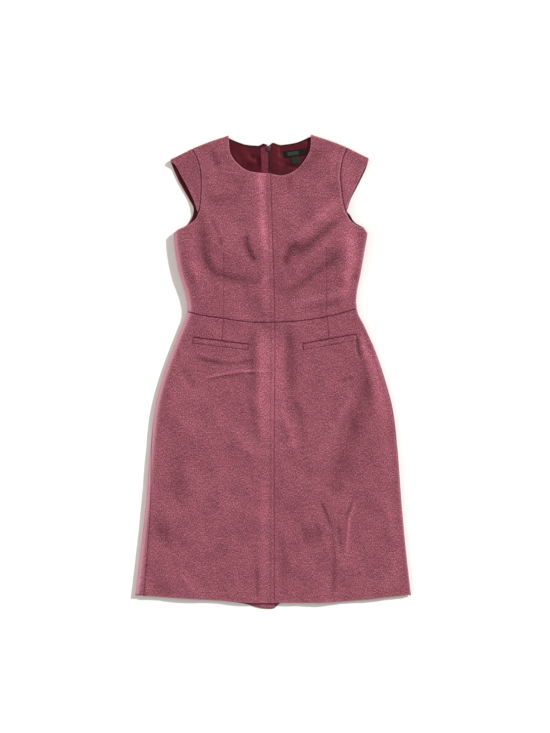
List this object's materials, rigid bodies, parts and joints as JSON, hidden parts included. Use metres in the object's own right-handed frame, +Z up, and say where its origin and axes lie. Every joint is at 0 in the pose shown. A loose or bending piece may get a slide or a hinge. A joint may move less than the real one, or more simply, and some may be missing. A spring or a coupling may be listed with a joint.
{
  "type": "sheath dress",
  "caption": "Knee-length sheath dress of heathered wool laid flat with its front up: round neck, cap sleeves, waist seam, bust darts, slanted pocket welts, satin lining, back zip.",
  "frame": {"origin": "middle of the laid dress's bounding box, on the surface it lies on", "axes": "+X to the right of the laid dress, +Y from its hem to its neck, +Z up off the surface it lies on"},
  "size_m": [0.552, 0.9492, 0.0215],
  "materials": {
    "wool": "heathered rose and burgundy wool twill, soft and matt",
    "satin": "burgundy satin lining",
    "tape": "woven zip tape, wine red",
    "label": "plain black woven label",
    "metal": "small zip slider and pull tab, dull steel"
  },
  "bodies": {
    "dress": {"back_bodice_left": "wool", "back_bodice_right": "wool", "back_lining_left": "satin", "back_lining_right": "satin", "back_skirt_left": "wool", "back_skirt_right": "wool", "cap_sleeve_left": "wool", "cap_sleeve_right": "wool", "front_bodice_left": "wool", "front_bodice_right": "wool", "front_skirt_left": "wool", "front_skirt_right": "wool", "neck_label": "label", "pocket_welt_left": "wool", "pocket_welt_right": "wool", "size_tab": "label", "sleeve_lining_left": "satin", "sleeve_lining_right": "satin", "zip_slider": "metal", "zip_tape_left": "tape", "zip_tape_right": "tape"},
    "pull_tab": {"zip_pull_tab": "metal"}
  },
  "joints": [
    {"name": "pull_tab_hinge", "type": "hinge", "parent": "dress", "child": "pull_tab", "pos_m": [-0.00783, 0.4466, 0.0015], "axis": [1, 0, 0], "range_deg": [0, 175]}
  ]
}
